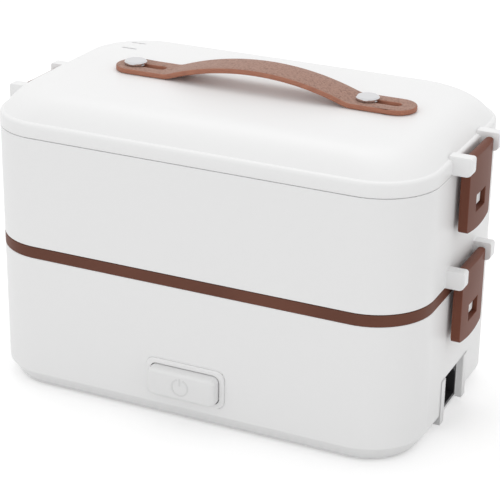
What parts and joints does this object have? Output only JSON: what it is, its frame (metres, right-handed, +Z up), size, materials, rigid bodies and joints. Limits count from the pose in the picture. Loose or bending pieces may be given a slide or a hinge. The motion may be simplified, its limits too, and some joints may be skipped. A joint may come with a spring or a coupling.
{
  "type": "electric lunch box",
  "caption": "Two-tier heated lunch box: lift-off lid with a strap, end latches, steel bowls, heating pan, push button and mains inlet.",
  "frame": {"origin": "centre of the footprint on the table, under the rubber feet", "axes": "+Z up, +X along the length to the end with the inlet, -Y to the front with the button"},
  "size_m": [0.2544, 0.1429, 0.1713],
  "materials": {
    "lid_plastic": "satin white moulded ABS",
    "shell_plastic": "satin white moulded ABS",
    "liner_plastic": "food-safe polypropylene, matt",
    "silicone": "food-safe silicone, soft matt",
    "strap_leather": "pebbled synthetic leather with sealed edges",
    "stud_chrome": "polished chrome plate",
    "fastener_steel": "zinc-plated steel",
    "latch_plastic": "brown moulded polypropylene, fine satin",
    "trim_plastic": "brown moulded ABS, fine satin",
    "pin_steel": "ground stainless pin",
    "bowl_steel": "brushed stainless sheet",
    "bowl_lid_plastic": "milky polypropylene",
    "pan_steel": "drawn stainless sheet",
    "heater_aluminium": "die-cast aluminium",
    "element_sheath": "annealed steel sheath",
    "thermostat_can": "brass-toned plated can",
    "fuse_ceramic": "white ceramic fuse body",
    "button_plastic": "satin white moulded ABS",
    "spring_steel": "spring wire",
    "board_laminate": "green solder mask on laminate",
    "switch_plastic": "black moulded body",
    "lamp_lens": "amber lens",
    "inlet_plastic": "black moulded inlet",
    "pin_brass": "nickel-plated brass blades",
    "lead_brown": "brown insulation",
    "lead_blue": "blue insulation",
    "lead_green": "green insulation",
    "cover_plastic": "off-white moulded cover, fine texture",
    "foot_rubber": "dark grey rubber"
  },
  "bodies": {
    "base": {"trim_band": "trim_plastic", "base_shell": "shell_plastic", "heating_pan": "pan_steel", "pan_gasket": "silicone", "heater_plate": "heater_aluminium", "heater_element": "element_sheath", "thermostat": "thermostat_can", "thermal_fuse": "fuse_ceramic", "button_bezel": "button_plastic", "button_spring": "spring_steel", "switch_board": "board_laminate", "push_switch": "switch_plastic", "indicator_lamp": "lamp_lens", "inlet_socket": "inlet_plastic", "inlet_pins": "pin_brass", "inlet_screws": "fastener_steel", "lead_live": "lead_brown", "lead_neutral": "lead_blue", "lead_earth": "lead_green", "lead_switched": "lead_brown", "lead_heater": "lead_brown", "bottom_cover": "cover_plastic", "cover_screws": "fastener_steel", "rubber_feet": "foot_rubber"},
    "button": {"power_button": "button_plastic"},
    "upper_tier": {"upper_tier": "shell_plastic", "tier_seal": "silicone", "tier_pin_left": "pin_steel", "tier_pin_right": "pin_steel"},
    "lid": {"lid_shell": "lid_plastic", "lid_liner": "liner_plastic", "lid_seal": "silicone", "strap_studs": "stud_chrome", "stud_nuts": "fastener_steel", "liner_screws": "fastener_steel", "lid_pin_left": "pin_steel", "lid_pin_right": "pin_steel"},
    "strap": {"handle_strap": "strap_leather"},
    "lid_latch_left": {"lid_latch_left": "latch_plastic"},
    "lid_latch_right": {"lid_latch_right": "latch_plastic"},
    "tier_latch_left": {"tier_latch_left": "latch_plastic"},
    "tier_latch_right": {"tier_latch_right": "latch_plastic"},
    "lower_bowl_left": {"lower_bowl_left": "bowl_steel"},
    "lower_bowl_lid_left": {"lower_bowl_lid_left": "bowl_lid_plastic", "lower_bowl_seal_left": "silicone", "lower_vent_plug_left": "silicone"},
    "lower_bowl_right": {"lower_bowl_right": "bowl_steel"},
    "lower_bowl_lid_right": {"lower_bowl_lid_right": "bowl_lid_plastic", "lower_bowl_seal_right": "silicone", "lower_vent_plug_right": "silicone"},
    "upper_bowl_left": {"upper_bowl_left": "bowl_steel"},
    "upper_bowl_lid_left": {"upper_bowl_lid_left": "bowl_lid_plastic", "upper_bowl_seal_left": "silicone", "upper_vent_plug_left": "silicone"},
    "upper_bowl_right": {"upper_bowl_right": "bowl_steel"},
    "upper_bowl_lid_right": {"upper_bowl_lid_right": "bowl_lid_plastic", "upper_bowl_seal_right": "silicone", "upper_vent_plug_right": "silicone"}
  },
  "joints": [
    {"name": "tier_lift", "type": "slide", "parent": "base", "child": "upper_tier", "axis": [0, 0, 1], "range_m": [0, 0.075]},
    {"name": "lid_lift", "type": "slide", "parent": "upper_tier", "child": "lid", "axis": [0, 0, 1], "range_m": [0, 0.075]},
    {"name": "button_press", "type": "slide", "parent": "base", "child": "button", "axis": [0, 1, 0], "range_m": [0, 0.0015], "stiffness_N_per_m": 400, "deforming": ["button_spring"]},
    {"name": "strap_slide", "type": "slide", "parent": "lid", "child": "strap", "axis": [-1, 0, 0], "range_m": [0, 0.015]},
    {"name": "lid_latch_left_swing", "type": "hinge", "parent": "lid", "child": "lid_latch_left", "pos_m": [-0.1226, 0, 0.1445], "axis": [0, 1, 0], "range_deg": [0, 110]},
    {"name": "lid_latch_right_swing", "type": "hinge", "parent": "lid", "child": "lid_latch_right", "pos_m": [0.1226, 0, 0.1445], "axis": [0, -1, 0], "range_deg": [0, 110]},
    {"name": "tier_latch_left_swing", "type": "hinge", "parent": "upper_tier", "child": "tier_latch_left", "pos_m": [-0.1226, 0, 0.0861], "axis": [0, 1, 0], "range_deg": [0, 110]},
    {"name": "tier_latch_right_swing", "type": "hinge", "parent": "upper_tier", "child": "tier_latch_right", "pos_m": [0.1226, 0, 0.0861], "axis": [0, -1, 0], "range_deg": [0, 110]},
    {"name": "lower_bowl_left_lift", "type": "slide", "parent": "base", "child": "lower_bowl_left", "axis": [0, 0, 1], "range_m": [0, 0.045]},
    {"name": "lower_bowl_lid_left_lift", "type": "slide", "parent": "lower_bowl_left", "child": "lower_bowl_lid_left", "axis": [0, 0, 1], "range_m": [0, 0.015]},
    {"name": "lower_bowl_right_lift", "type": "slide", "parent": "base", "child": "lower_bowl_right", "axis": [0, 0, 1], "range_m": [0, 0.045]},
    {"name": "lower_bowl_lid_right_lift", "type": "slide", "parent": "lower_bowl_right", "child": "lower_bowl_lid_right", "axis": [0, 0, 1], "range_m": [0, 0.015]},
    {"name": "upper_bowl_left_lift", "type": "slide", "parent": "upper_tier", "child": "upper_bowl_left", "axis": [0, 0, 1], "range_m": [0, 0.045]},
    {"name": "upper_bowl_lid_left_lift", "type": "slide", "parent": "upper_bowl_left", "child": "upper_bowl_lid_left", "axis": [0, 0, 1], "range_m": [0, 0.015]},
    {"name": "upper_bowl_right_lift", "type": "slide", "parent": "upper_tier", "child": "upper_bowl_right", "axis": [0, 0, 1], "range_m": [0, 0.045]},
    {"name": "upper_bowl_lid_right_lift", "type": "slide", "parent": "upper_bowl_right", "child": "upper_bowl_lid_right", "axis": [0, 0, 1], "range_m": [0, 0.015]}
  ],
  "couplings": [
    {"joint": "lid_latch_left_swing", "follows": "lid_lift", "rad_per_m": 25.59},
    {"joint": "lid_latch_right_swing", "follows": "lid_lift", "rad_per_m": 25.59},
    {"joint": "tier_latch_left_swing", "follows": "tier_lift", "rad_per_m": 25.59},
    {"joint": "tier_latch_right_swing", "follows": "tier_lift", "rad_per_m": 25.59},
    {"joint": "lower_bowl_left_lift", "follows": "tier_lift", "ratio": 0.6},
    {"joint": "lower_bowl_lid_left_lift", "follows": "tier_lift", "ratio": 0.2},
    {"joint": "lower_bowl_right_lift", "follows": "tier_lift", "ratio": 0.6},
    {"joint": "lower_bowl_lid_right_lift", "follows": "tier_lift", "ratio": 0.2},
    {"joint": "upper_bowl_left_lift", "follows": "lid_lift", "ratio": 0.6},
    {"joint": "upper_bowl_lid_left_lift", "follows": "lid_lift", "ratio": 0.2},
    {"joint": "upper_bowl_right_lift", "follows": "lid_lift", "ratio": 0.6},
    {"joint": "upper_bowl_lid_right_lift", "follows": "lid_lift", "ratio": 0.2}
  ]
}
